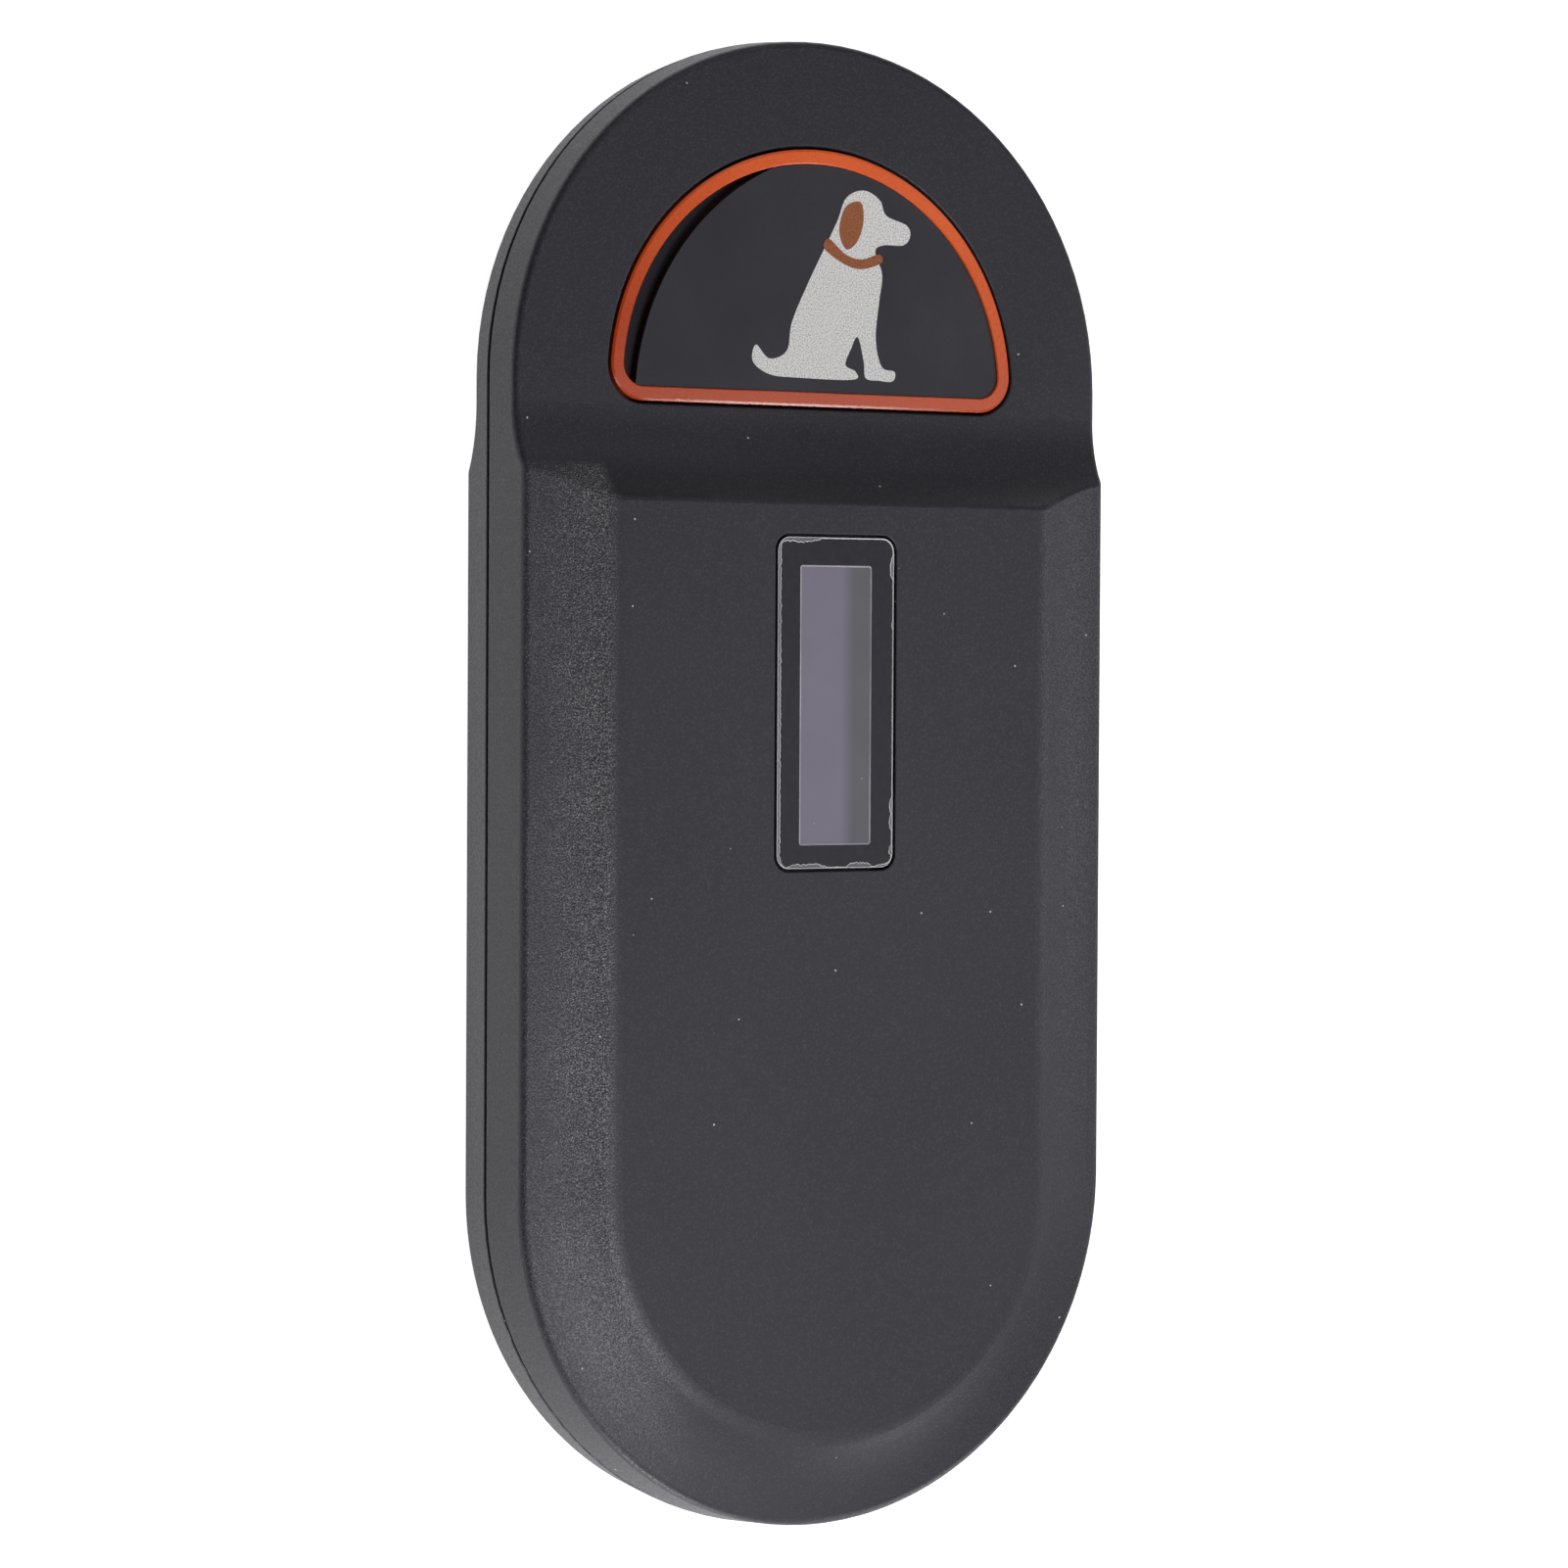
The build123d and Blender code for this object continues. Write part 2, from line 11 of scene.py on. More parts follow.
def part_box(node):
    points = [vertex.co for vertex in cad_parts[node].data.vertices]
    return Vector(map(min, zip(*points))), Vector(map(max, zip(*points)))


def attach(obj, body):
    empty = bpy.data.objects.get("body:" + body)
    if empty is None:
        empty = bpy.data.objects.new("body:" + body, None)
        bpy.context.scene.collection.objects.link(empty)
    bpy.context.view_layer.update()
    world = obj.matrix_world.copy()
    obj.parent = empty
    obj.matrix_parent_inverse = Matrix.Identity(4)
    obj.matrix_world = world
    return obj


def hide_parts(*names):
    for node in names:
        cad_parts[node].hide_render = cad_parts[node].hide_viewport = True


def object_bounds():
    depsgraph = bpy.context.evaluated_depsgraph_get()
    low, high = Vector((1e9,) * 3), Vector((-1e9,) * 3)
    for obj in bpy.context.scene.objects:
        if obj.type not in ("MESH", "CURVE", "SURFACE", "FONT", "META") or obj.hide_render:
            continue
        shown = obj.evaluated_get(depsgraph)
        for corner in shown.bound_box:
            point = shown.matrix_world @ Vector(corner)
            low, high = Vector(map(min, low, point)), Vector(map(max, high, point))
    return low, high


MM = 0.001

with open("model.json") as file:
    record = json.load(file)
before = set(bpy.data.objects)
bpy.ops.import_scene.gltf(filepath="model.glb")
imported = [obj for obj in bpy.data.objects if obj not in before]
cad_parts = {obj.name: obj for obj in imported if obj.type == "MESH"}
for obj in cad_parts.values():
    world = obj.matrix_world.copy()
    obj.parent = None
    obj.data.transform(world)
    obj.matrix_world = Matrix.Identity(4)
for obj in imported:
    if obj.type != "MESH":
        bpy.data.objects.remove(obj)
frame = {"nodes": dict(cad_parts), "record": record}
cad_low, cad_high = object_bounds()


# ---- Places on the case, for its grit and its painted glints ----

GRIP_END = -34.5 * MM                   # along Y. Below this the outline is round
PLATEAU_EDGE = (21.8 * MM, 22.8 * MM)   # from the middle line, as are the next two
SHOULDER_INNER = 24.0 * MM
SHOULDER_RIM = 28.5 * MM
SHOULDER_FOOT = (10.8 * MM, 11.2 * MM)  # height
LEFT_SIDE = (-23.0 * MM, -13.0 * MM)    # along X


# ---- Building blocks for node materials ----

def new_material(name):
    """An empty node material with its Principled shader."""
    material = bpy.data.materials.new(name)
    material.use_nodes = True
    shader = material.node_tree.nodes["Principled BSDF"]
    return material, material.node_tree, shader


def object_point(tree):
    """The shaded point in the object's own metres."""
    return tree.nodes.new("ShaderNodeTexCoord").outputs["Object"]


def object_axis(tree, axis):
    """Distance in metres along the object's X, Y or Z."""
    node = tree.nodes.new("ShaderNodeSeparateXYZ")
    tree.links.new(object_point(tree), node.inputs["Vector"])
    return node.outputs[axis]


def object_distance(tree):
    """Distance in metres from the object's origin."""
    node = tree.nodes.new("ShaderNodeVectorMath")
    node.operation = "LENGTH"
    tree.links.new(object_point(tree), node.inputs[0])
    return node.outputs["Value"]


def grip_radius(tree):
    """Distance in metres from the middle line of the case, whose outline is round below GRIP_END."""
    across = object_axis(tree, "X")
    past_end = calculate(tree, "MINIMUM", calculate(tree, "SUBTRACT", object_axis(tree, "Y"), GRIP_END), 0.0)
    squares = calculate(tree, "ADD", calculate(tree, "MULTIPLY", across, across),
                        calculate(tree, "MULTIPLY", past_end, past_end))
    return calculate(tree, "SQRT", squares)


def noise_value(tree, scale, detail=2.0, seed=0.0):
    """Cloudy noise from 0 to 1. scale is in features per metre."""
    node = tree.nodes.new("ShaderNodeTexNoise")
    node.noise_dimensions = "4D"
    node.inputs["Scale"].default_value = scale
    node.inputs["Detail"].default_value = detail
    node.inputs["W"].default_value = seed
    tree.links.new(object_point(tree), node.inputs["Vector"])
    return node.outputs["Fac"]


def spread(tree, value, low, high, start=0.3, end=0.7):
    """value, stretched from start..end to low..high and held between them."""
    node = tree.nodes.new("ShaderNodeMapRange")
    node.inputs["From Min"].default_value = start
    node.inputs["From Max"].default_value = end
    node.inputs["To Min"].default_value = low
    node.inputs["To Max"].default_value = high
    tree.links.new(value, node.inputs["Value"])
    return node.outputs["Result"]


def connect(tree, source, socket):
    """Links a socket, or sets a plain value."""
    if isinstance(source, bpy.types.NodeSocket):
        tree.links.new(source, socket)
    elif isinstance(source, tuple):
        socket.default_value = (*source, 1.0)
    else:
        socket.default_value = source


def mix_colour(tree, share, first, second):
    """first where share is 0, second where it is 1."""
    node = tree.nodes.new("ShaderNodeMix")
    node.data_type = "RGBA"
    connect(tree, share, node.inputs["Factor"])
    connect(tree, first, node.inputs["A"])
    connect(tree, second, node.inputs["B"])
    return node.outputs["Result"]


def calculate(tree, operation, first, second=0.0):
    """One step of arithmetic on two values."""
    node = tree.nodes.new("ShaderNodeMath")
    node.operation = operation
    connect(tree, first, node.inputs[0])
    connect(tree, second, node.inputs[1])
    return node.outputs["Value"]


def specks(tree, cell_size, dot_size, share):
    """Small round dots: 1 inside a dot, 0 outside. share of the cells have one."""
    cells = tree.nodes.new("ShaderNodeTexVoronoi")
    cells.inputs["Scale"].default_value = 1 / cell_size
    tree.links.new(object_point(tree), cells.inputs["Vector"])
    radius = dot_size / cell_size / 2
    dots = spread(tree, cells.outputs["Distance"], 1.0, 0.0, radius * 0.6, radius)
    tone = tree.nodes.new("ShaderNodeSeparateColor")
    tree.links.new(cells.outputs["Color"], tone.inputs["Color"])
    chosen = calculate(tree, "LESS_THAN", tone.outputs["Red"], share)
    return calculate(tree, "MULTIPLY", dots, chosen)


def add_bump(tree, shader, height, distance):
    """Relief from a height that runs from 0 to 1. distance is its depth in metres."""
    node = tree.nodes.new("ShaderNodeBump")
    node.inputs["Strength"].default_value = 1.0
    node.inputs["Distance"].default_value = distance
    tree.links.new(height, node.inputs["Height"])
    tree.links.new(node.outputs["Normal"], shader.inputs["Normal"])


# ---- Materials ----

def moulded(name, dark, light, roughness, grain, depth, metallic=0.0, coat=0.0, shine=0.5):
    """A surface with cloudy colour, uneven gloss and a fine grain.
    grain is in grains per metre and depth in metres."""
    material, tree, shader = new_material(name)
    cloud = spread(tree, noise_value(tree, 90.0, 4.0), 0.0, 1.0)
    fine = noise_value(tree, grain, 3.0, seed=3.0)
    share = calculate(tree, "MULTIPLY", spread(tree, fine, 0.55, 1.0), cloud)
    tree.links.new(mix_colour(tree, share, dark, light), shader.inputs["Base Color"])
    gloss = spread(tree, noise_value(tree, grain * 0.4, 2.0, seed=7.0), *roughness)
    tree.links.new(gloss, shader.inputs["Roughness"])
    shader.inputs["Metallic"].default_value = metallic
    shader.inputs["Specular IOR Level"].default_value = shine
    shader.inputs["Coat Weight"].default_value = coat
    shader.inputs["Coat Roughness"].default_value = 0.08
    add_bump(tree, shader, fine, depth)
    return material


def shoulder_grit_and_glints(tree):
    """How gritty the case is, and how many painted glints (a painted highlight) it shows, 0 to 1: only on
    the left shoulder, most next to the plateau, in drifts.
    """
    radius = grip_radius(tree)
    grown = spread(tree, radius, 1.0, 0.35, SHOULDER_INNER, SHOULDER_RIM)
    started = spread(tree, radius, 0.0, 1.0, *PLATEAU_EDGE)
    left = spread(tree, object_axis(tree, "X"), 1.0, 0.0, *LEFT_SIDE)
    high = spread(tree, object_axis(tree, "Z"), 0.0, 1.0, *SHOULDER_FOOT)
    grit_and_glint_share = spread(tree, noise_value(tree, 150.0, 2.0, seed=11.0), 0.6, 1.0)
    for limit in (grown, started, left, high):
        grit_and_glint_share = calculate(tree, "MULTIPLY", grit_and_glint_share, limit)
    return grit_and_glint_share


def case_plastic():
    """Black spark-textured plastic: crisp grain, a little dust, and on the left shoulder a coarser grain
    with bright grains that are painted glints, a painted highlight.
    """
    material, tree, shader = new_material("case_plastic")
    cloud = spread(tree, noise_value(tree, 60.0, 4.0), 0.0, 1.0)
    fine = noise_value(tree, 5200.0, 1.0, seed=3.0)
    plastic = mix_colour(tree, cloud, (0.0155, 0.0152, 0.021), (0.0195, 0.0188, 0.026))
    peaks = spread(tree, fine, 0.0, 0.25, 0.5, 0.72)
    grainy = mix_colour(tree, peaks, plastic, (0.1, 0.1, 0.11))
    grit_and_glint_share = shoulder_grit_and_glints(tree)
    # Painted highlight: bright grains where the left shoulder faces the light stand in for glints off the
    # spark texture.
    grains = spread(tree, noise_value(tree, 8500.0, 1.0, seed=13.0), 0.0, 1.0, 0.48, 0.74)
    painted_glints = calculate(tree, "MULTIPLY", grains, grit_and_glint_share)
    with_painted_glints = mix_colour(tree, painted_glints, grainy, (0.4, 0.4, 0.415))
    dust = specks(tree, 2.7 * MM, 0.22 * MM, 0.5)
    tree.links.new(mix_colour(tree, dust, with_painted_glints, (0.6, 0.6, 0.61)), shader.inputs["Base Color"])
    pits = spread(tree, noise_value(tree, 5000.0, 0.0, seed=7.0), 0.42, 0.56)
    tree.links.new(pits, shader.inputs["Roughness"])
    shader.inputs["Specular Tint"].default_value = (0.93, 0.94, 1.0, 1.0)
    rougher = spread(tree, grit_and_glint_share, 1.0, 2.5, 0.0, 1.0)
    add_bump(tree, shader, calculate(tree, "MULTIPLY", fine, rougher), 0.02 * MM)
    return material


def inked(name, dark, light):
    """Screen-printed ink: a granular layer over the film."""
    material, tree, shader = new_material(name)
    grains = noise_value(tree, 7500.0, 1.0, seed=5.0)
    colour = mix_colour(tree, spread(tree, grains, 0.0, 1.0, 0.3, 0.6), dark, light)
    tree.links.new(colour, shader.inputs["Base Color"])
    tree.links.new(spread(tree, noise_value(tree, 3000.0), 0.5, 0.68), shader.inputs["Roughness"])
    add_bump(tree, shader, grains, 0.02 * MM)
    return material


def button_orange():
    """Glossy orange with painted light and shade: darker at the bottom and the left of the button, paler
    towards the top and the right.
    """
    material, tree, shader = new_material("button_orange")
    fine = noise_value(tree, 5000.0, 3.0, seed=3.0)
    cloud = spread(tree, noise_value(tree, 90.0, 4.0), 0.0, 1.0)
    share = calculate(tree, "MULTIPLY", spread(tree, fine, 0.55, 1.0), cloud)
    # Painted light and shade: the two oranges are mixed by place, darker at the bottom-left and paler at the
    # top-right, where the light falls.
    painted_shade_orange = mix_colour(tree, share, (0.52, 0.052, 0.004), (0.6, 0.068, 0.006))
    pale = mix_colour(tree, share, (0.9, 0.135, 0.032), (0.98, 0.17, 0.044))
    sideways = calculate(tree, "MULTIPLY", object_axis(tree, "X"), 0.3)
    slanted = calculate(tree, "ADD", object_axis(tree, "Y"), sideways)
    painted_light_share = spread(tree, slanted, 0.0, 1.0, 34.0 * MM, 54.0 * MM)
    tree.links.new(mix_colour(tree, painted_light_share, painted_shade_orange, pale), shader.inputs["Base Color"])
    gloss = spread(tree, noise_value(tree, 2000.0, 2.0, seed=7.0), 0.24, 0.34)
    tree.links.new(gloss, shader.inputs["Roughness"])
    shader.inputs["Specular IOR Level"].default_value = 0.3
    shader.inputs["Coat Weight"].default_value = 0.7
    shader.inputs["Coat Roughness"].default_value = 0.12
    add_bump(tree, shader, fine, 0.003 * MM)
    return material


def display_glass():
    """The dark display behind the window, with a painted reflection: a violet-grey glare over most of it,
    and a greyer band along its right side where the glare stops.
    """
    material, tree, shader = new_material("display_glass")
    across = object_axis(tree, "X")
    cloud = spread(tree, noise_value(tree, 180.0, 3.0), 0.0, 1.0)
    # Painted reflection: violet grey where the glare is painted, plain grey past its edge on the right.
    painted_glare_violet = mix_colour(tree, cloud, (0.176, 0.16, 0.222), (0.191, 0.175, 0.241))
    grey = mix_colour(tree, cloud, (0.1, 0.099, 0.118), (0.108, 0.108, 0.126))
    past_painted_glare = spread(tree, across, 0.0, 1.0, 0.6 * MM, 1.9 * MM)
    dust = specks(tree, 2.4 * MM, 0.2 * MM, 0.3)
    toned = mix_colour(tree, past_painted_glare, painted_glare_violet, grey)
    tree.links.new(mix_colour(tree, dust, toned, (0.3, 0.29, 0.34)), shader.inputs["Base Color"])
    tree.links.new(spread(tree, noise_value(tree, 300.0), 0.16, 0.24), shader.inputs["Roughness"])
    shader.inputs["Specular IOR Level"].default_value = 0.35
    add_bump(tree, shader, noise_value(tree, 500.0, 2.0, seed=9.0), 0.004 * MM)
    return material


def make_materials():
    """One material for each slot of the record, and one for each finish of a new piece."""
    return {
        "case_plastic": case_plastic(),
        "button_orange": button_orange(),
        "button_film": moulded("button_film", (0.026, 0.0242, 0.032), (0.047, 0.0442, 0.056),
                               (0.4, 0.5), 6000.0, 0.002 * MM, shine=0.34),
        "inner_plastic": moulded("inner_plastic", (0.012, 0.012, 0.013), (0.02, 0.02, 0.021),
                                 (0.45, 0.6), 3000.0, 0.01 * MM),
        "white_plastic": moulded("white_plastic", (0.62, 0.6, 0.55), (0.75, 0.73, 0.68),
                                 (0.35, 0.5), 2500.0, 0.006 * MM),
        "lens_black": moulded("lens_black", (0.0125, 0.0115, 0.0185), (0.0145, 0.0135, 0.021),
                              (0.24, 0.3), 4000.0, 0.0005 * MM, shine=0.28),
        "glue": moulded("glue", (0.07, 0.07, 0.085), (0.2, 0.2, 0.22), (0.2, 0.4), 3500.0, 0.02 * MM),
        # Painted highlight: the near-white of the glue's ridges stands in for light caught on them.
        "glue_ridge_highlight": moulded("glue_ridge_highlight", (0.45, 0.45, 0.47), (0.95, 0.95, 0.97),
                             (0.2, 0.35), 2600.0, 0.02 * MM),
        "foam": moulded("foam", (0.01, 0.01, 0.01), (0.02, 0.02, 0.02), (0.85, 0.95), 2500.0, 0.05 * MM),
        "panel_glass": moulded("panel_glass", (0.05, 0.045, 0.07), (0.06, 0.055, 0.08),
                               (0.06, 0.1), 800.0, 0.001 * MM, coat=1.0),
        "flex_film": moulded("flex_film", (0.42, 0.17, 0.02), (0.55, 0.25, 0.04),
                             (0.25, 0.35), 1200.0, 0.004 * MM),
        "board_green": moulded("board_green", (0.006, 0.09, 0.03), (0.012, 0.13, 0.045),
                               (0.25, 0.4), 1800.0, 0.008 * MM),
        "chip_black": moulded("chip_black", (0.01, 0.01, 0.011), (0.018, 0.018, 0.02),
                              (0.5, 0.65), 5000.0, 0.008 * MM),
        "ceramic_part": moulded("ceramic_part", (0.38, 0.27, 0.16), (0.5, 0.37, 0.23),
                                (0.5, 0.6), 4000.0, 0.006 * MM),
        "steel": moulded("steel", (0.45, 0.45, 0.46), (0.62, 0.62, 0.62),
                         (0.22, 0.36), 1500.0, 0.003 * MM, metallic=1.0),
        "copper_wire": moulded("copper_wire", (0.6, 0.22, 0.08), (0.8, 0.36, 0.16),
                               (0.25, 0.4), 2500.0, 0.03 * MM, metallic=1.0),
        "battery_foil": moulded("battery_foil", (0.55, 0.55, 0.57), (0.68, 0.68, 0.7),
                                (0.28, 0.4), 700.0, 0.02 * MM, metallic=1.0),
        "tape": moulded("tape", (0.62, 0.62, 0.58), (0.74, 0.74, 0.7), (0.6, 0.75), 2000.0, 0.01 * MM),
        "wire_red": moulded("wire_red", (0.42, 0.01, 0.008), (0.55, 0.02, 0.015),
                            (0.4, 0.5), 1500.0, 0.005 * MM),
        "wire_black": moulded("wire_black", (0.01, 0.01, 0.01), (0.018, 0.018, 0.018),
                              (0.4, 0.5), 1500.0, 0.005 * MM),
        # Painted shadow: a near-black, low-sheen finish for the tray beside the button's film and for the
        # gap round the lens.
        "painted_shadow_black": moulded("painted_shadow_black", (0.024, 0.0222, 0.029), (0.031, 0.029, 0.037),
                              (0.7, 0.85), 3000.0, 0.01 * MM, shine=0.1),
        "display_glass": display_glass(),
        # Painted highlight: the light grey of the window's edge stands in for light caught along that edge.
        "window_edge_highlight": moulded("window_edge_highlight", (0.22, 0.215, 0.25), (0.55, 0.54, 0.6),
                               (0.25, 0.35), 600.0, 0.003 * MM),
        "ink_white": inked("ink_white", (0.44, 0.43, 0.43), (0.97, 0.96, 0.95)),
        "ink_brown": inked("ink_brown", (0.2, 0.055, 0.016), (0.42, 0.125, 0.04)),
    }


def dress_nodes(materials):
    """Every CAD node wears the material of its slot, but the tray beside the film wears a near-black finish,
    a painted shadow of the ring.
    """
    slots = {row["node"]: row["material_slot"] for row in frame["record"]["subparts"]}
    slots["button_plate"] = "painted_shadow_black"
    for name, node in frame["nodes"].items():
        node.data.materials.clear()
        node.data.materials.append(materials[slots[name]])


# ---- Mesh helpers ----

def new_piece(name, mesh_maker, *finishes):
    """A mesh object in the scene, filled by mesh_maker."""
    mesh = bpy.data.meshes.new(name)
    bm = bmesh.new()
    mesh_maker(bm)
    bmesh.ops.recalc_face_normals(bm, faces=bm.faces)
    bm.to_mesh(mesh)
    bm.free()
    for material in finishes:
        mesh.materials.append(material)
    piece = bpy.data.objects.new(name, mesh)
    bpy.context.scene.collection.objects.link(piece)
    return piece


def rounded_path(size, corner, side_steps, corner_steps=12):
    """Points and outward directions round a rectangle with round corners, centred on the origin."""
    half_x, half_y = size[0] / 2 - corner, size[1] / 2 - corner
    middles = [(half_x, half_y), (-half_x, half_y), (-half_x, -half_y), (half_x, -half_y)]
    stations = []
    for quarter, (x, y) in enumerate(middles):
        for step in range(corner_steps + 1):
            angle = math.pi / 2 * (quarter + step / corner_steps)
            outward = Vector((math.cos(angle), math.sin(angle)))
            stations.append((Vector((x, y)) + outward * corner, outward))
        start, outward = stations[-1]
        next_x, next_y = middles[(quarter + 1) % 4]
        end = Vector((next_x, next_y)) + outward * corner
        stations += [(start.lerp(end, step / side_steps), outward) for step in range(1, side_steps)]
    return stations


def join_loops(bm, loops, closed=False):
    """Faces between neighbouring closed loops of points. Returns the rows of faces."""
    rows = [[bm.verts.new(point) for point in loop] for loop in loops]
    pairs = list(zip(rows, rows[1:])) + ([(rows[-1], rows[0])] if closed else [])
    made = []
    for first, second in pairs:
        count = len(first)
        made.append([bm.faces.new((first[i], first[(i + 1) % count], second[(i + 1) % count], second[i]))
                     for i in range(count)])
    return made


def plate_loop(size, corner, middle, z):
    """One closed loop of a plate's outline at height z."""
    stations = rounded_path(size, corner, 2)
    return [(middle[0] + point.x, middle[1] + point.y, z) for point, _ in stations]


def inset_loop(size, corner, inset, middle, z):
    """A plate's outline moved inwards by inset."""
    smaller = (size[0] - 2 * inset, size[1] - 2 * inset)
    return plate_loop(smaller, corner - inset, middle, z)


def smooth_loop(points, steps=8):
    """A closed smooth curve through points (Catmull-Rom)."""
    count = len(points)
    curve = []
    for i in range(count):
        before, start, end, after = (Vector(points[(i + k) % count]) for k in (-1, 0, 1, 2))
        for step in range(steps):
            t = step / steps
            curve.append(0.5 * ((2 * start) + (end - before) * t
                                + (2 * before - 5 * start + 4 * end - after) * t ** 2
                                + (3 * start - before - 3 * end + after) * t ** 3))
    return curve


# ---- Display window ----

LENS_CORNER = 1.25 * MM
LENS_ROUND = 0.12 * MM
LENS_ROUND_STEPS = 4
PANE_SIZE = (7.4 * MM, 24.5 * MM)
PANE_MIDDLE = (0.0, 7.1 * MM)
PANE_CORNER = 0.25 * MM
PANE_SUNK = 0.04 * MM
EDGE_WIDTH = 0.13 * MM


def display_lens(materials):
    """The window over the display: a black printed border round a clear pane, with a light grey edge that is
    a painted highlight.
    """
    low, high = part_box("display_lens")
    size = (high.x - low.x, high.y - low.y)
    middle = ((low.x + high.x) / 2, (low.y + high.y) / 2)

    def fill_border(bm):
        loops = [plate_loop(size, LENS_CORNER, middle, low.z)]
        for step in range(LENS_ROUND_STEPS + 1):
            angle = math.pi / 2 * step / LENS_ROUND_STEPS
            inset = LENS_ROUND * (1 - math.cos(angle))
            z = high.z - LENS_ROUND * (1 - math.sin(angle))
            loops.append(inset_loop(size, LENS_CORNER, inset, middle, z))
        loops.append(plate_loop(PANE_SIZE, PANE_CORNER, PANE_MIDDLE, high.z))
        loops.append(plate_loop(PANE_SIZE, PANE_CORNER, PANE_MIDDLE, low.z))
        join_loops(bm, loops, closed=True)

    def fill_edge_highlight(bm):
        levels = [(0, low.z), (0, high.z - PANE_SUNK / 2), (EDGE_WIDTH * 0.3, high.z - PANE_SUNK / 4),
                  (EDGE_WIDTH, high.z - PANE_SUNK), (EDGE_WIDTH, low.z)]
        join_loops(bm, [inset_loop(PANE_SIZE, PANE_CORNER, inset, PANE_MIDDLE, z) for inset, z in levels],
                   closed=True)

    def fill_pane(bm):
        loops = [inset_loop(PANE_SIZE, PANE_CORNER, EDGE_WIDTH, PANE_MIDDLE, z)
                 for z in (low.z, high.z - PANE_SUNK)]
        join_loops(bm, loops)
        bmesh.ops.holes_fill(bm, edges=bm.edges)

    border = new_piece("lens_border", fill_border, materials["lens_black"])
    edge_highlight = new_piece("window_edge_highlight", fill_edge_highlight, materials["window_edge_highlight"])
    pane = new_piece("window_pane", fill_pane, materials["display_glass"])
    for piece in (border, edge_highlight, pane):
        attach(piece, "housing")
    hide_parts("display_lens")


# Where more glue was squeezed out: place from the lens's middle, how far it reaches along the edge,
# and how wide it is there. In millimetres, as are the three widths below the list.
GLUE_BEADS = [
    (-3.7, 14.55, 2.2, 0.42), (6.05, 11.9, 1.05, 0.38), (6.05, 6.9, 0.35, 0.2),
    (6.05, -9.1, 0.8, 0.32), (6.05, -10.5, 0.75, 0.34), (6.05, -13.0, 0.5, 0.34), (4.9, -14.1, 0.9, 0.3),
    (2.5, -14.55, 1.35, 0.48), (-2.9, -14.55, 2.1, 0.42),
]
GLUE_THIN = 0.1
GLUE_LEFT = 0.3
GLUE_WIDEST = 0.5

GLUE_RIDGE = 0.05 * MM
GLUE_SWELL = 0.035 * MM
# The bare strip and the gap outside the bead wear the near-black finish, a painted shadow.
GLUE_BARE = 0.06 * MM           # strip of the lens's edge outside the bead, seen as a dark line
GLUE_BARE_DEPTH = 0.2 * MM
GLUE_IN_GAP = 0.02 * MM
GLUE_STATIONS = 220             # along each side of the lens


def glue_width(point, outward):
    """How far the glue laps over the lens at a point of its edge."""
    left_side = max(0.0, -outward.x)
    width = GLUE_THIN + (GLUE_LEFT - GLUE_THIN) * left_side ** 3
    for x, y, reach, bead_width in GLUE_BEADS:
        away = (point / MM - Vector((x, y))).length / reach
        if away < 1:
            width = max(width, bead_width * math.sqrt(1 - away ** 2))
    place = Vector((point.x, point.y, 0)) / MM
    ragged = noise.noise(place * 2.3) + noise.noise(place * 6.0)
    return min(GLUE_WIDEST, width * (1 + 0.25 * ragged)) * MM


def lens_glue(materials):
    """The uneven line of glue on the edge of the lens: near-white ridges, a painted highlight, and outside
    it a dark line of painted shadow.
    """
    low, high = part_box("display_lens")
    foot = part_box("lens_adhesive")[0].z
    size = (high.x - low.x, high.y - low.y)
    middle = Vector(((low.x + high.x) / 2, (low.y + high.y) / 2))
    # Finishes of the bead's rows: the ridges wear the painted highlight, the gap and the bare strip outside
    # it the painted shadow.
    body, ridge_highlight, dark = range(3)
    row_finishes = (dark, dark, ridge_highlight, ridge_highlight, body, ridge_highlight, ridge_highlight)

    def profile(width):
        """(distance outward, height) across the bead, from its foot in the gap to the one on the lens."""
        dip = high.z + GLUE_SWELL * (1 - 0.6 * min(1.0, width / (0.2 * MM)))
        outer_side = -GLUE_BARE - 0.02 * MM
        inner_side = -GLUE_BARE - width
        return [(GLUE_IN_GAP, foot), (GLUE_IN_GAP, high.z - GLUE_BARE_DEPTH),
                (-GLUE_BARE, high.z - 0.03 * MM), (outer_side, high.z + GLUE_SWELL),
                (outer_side - GLUE_RIDGE, dip), (inner_side + GLUE_RIDGE, dip),
                (inner_side, high.z + GLUE_SWELL * 0.9),
                (inner_side - GLUE_RIDGE * 0.6, high.z - 0.01 * MM)]

    def fill(bm):
        loops = [[] for _ in range(len(row_finishes) + 1)]
        for point, outward in rounded_path(size, LENS_CORNER, GLUE_STATIONS):
            for loop, (offset, z) in zip(loops, profile(glue_width(point, outward))):
                place = middle + point + outward * offset
                loop.append((place.x, place.y, z))
        for finish, row in zip(row_finishes, join_loops(bm, loops)):
            for face in row:
                face.material_index = finish
                face.smooth = True

    finishes = (materials["glue"], materials["glue_ridge_highlight"], materials["painted_shadow_black"])
    bead = new_piece("glue_bead", fill, *finishes)
    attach(bead, "housing")
    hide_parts("lens_adhesive")


# ---- Frame of the button ----

FRAME_R = 20.7 * MM
FRAME_CORNER = 3.2 * MM
FRAME_WIDTH = 1.25 * MM
FRAME_BEVEL = (0.2 * MM, 0.115 * MM)    # inwards and down
FRAME_INNER_BEVEL = 0.1 * MM
FRAME_ARC_STEPS = 160
FRAME_CORNER_STEPS = 16


